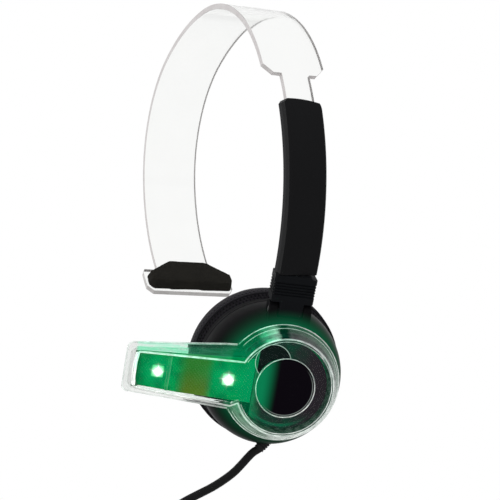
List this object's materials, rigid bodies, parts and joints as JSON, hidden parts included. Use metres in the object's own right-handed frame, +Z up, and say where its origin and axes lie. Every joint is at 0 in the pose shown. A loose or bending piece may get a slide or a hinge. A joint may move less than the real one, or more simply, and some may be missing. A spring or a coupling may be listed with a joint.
{
  "type": "single-sided voice headset",
  "caption": "Single-sided voice headset with a clear spring headband, temple rest, sliding stem, round ear cup and a lit clear microphone boom that turns about the cup.",
  "frame": {"origin": "where the top of the wearer's head meets the inside of the headband", "axes": "+X towards the ear cup (the wearer's left), -Y the way the wearer faces, +Z up"},
  "size_m": [0.162, 0.1763, 0.3226],
  "materials": {
    "clear_strip": "polished clear plastic",
    "clear_shell": "polished clear plastic",
    "black_plastic": "satin",
    "gloss_black": "polished",
    "foam": "open foam",
    "mesh_fabric": "woven mesh",
    "tape": "adhesive film",
    "steel": "plain",
    "board_green": "solder mask",
    "lamp_white": "lit",
    "white_plastic": "satin",
    "paper": "pressed cone",
    "cord_black": "satin",
    "nickel": "plated",
    "nylon": "natural"
  },
  "bodies": {
    "headband": {"headband_strip": "clear_strip", "temple_pad": "foam", "pad_adhesive": "tape"},
    "stem": {"stem_outer_cover": "black_plastic", "stem_inner_cover": "black_plastic", "detent_spring": "steel", "stem_screws": "steel", "swivel_pin": "steel"},
    "neck": {"neck_block": "black_plastic", "neck_back_cover": "black_plastic", "tilt_pin": "steel"},
    "ear_cup": {"cup_housing": "black_plastic", "baffle_plate": "black_plastic", "speaker_frame": "steel", "speaker_magnet": "steel", "speaker_cone": "paper", "cushion_ring": "black_plastic", "grille_cloth": "mesh_fabric", "ear_cushion": "mesh_fabric", "baffle_screws": "steel", "cord_gland": "cord_black", "pivot_shaft": "steel", "pivot_clip": "steel", "friction_washer": "nylon", "cord": "cord_black", "cord_coil": "cord_black", "cord_tail": "cord_black", "cord_tie": "cord_black", "plug_grip": "cord_black", "plug_contact": "nickel", "plug_rings": "cord_black"},
    "boom": {"boom_back_shell": "clear_shell", "boom_front_shell": "clear_shell", "hub_core": "gloss_black", "hub_cap": "gloss_black", "circuit_board": "board_green", "lamps": "lamp_white", "end_strip": "white_plastic", "mic_capsule": "steel", "mic_boot": "cord_black", "boom_screws": "steel"}
  },
  "joints": [
    {"name": "stem_slide", "type": "hinge", "parent": "headband", "child": "stem", "pos_m": [-0.03164, 0, -0.07646], "axis": [0, 1, 0], "range_deg": [-6.1, 10.5]},
    {"name": "neck_swivel", "type": "hinge", "parent": "stem", "child": "neck", "pos_m": [0.05307, 0, -0.14804], "axis": [0.6454, 0, 0.7638], "range_deg": [-12, 48]},
    {"name": "cup_tilt", "type": "hinge", "parent": "neck", "child": "ear_cup", "pos_m": [0.04113, 0, -0.16217], "axis": [0.2105, 0.9613, -0.1779], "range_deg": [-8, 12]},
    {"name": "boom_turn", "type": "hinge", "parent": "ear_cup", "child": "boom", "pos_m": [0.02971, -0.00302, -0.192], "axis": [0.8439, -0.2706, -0.4633], "range_deg": [-40, 200]}
  ]
}
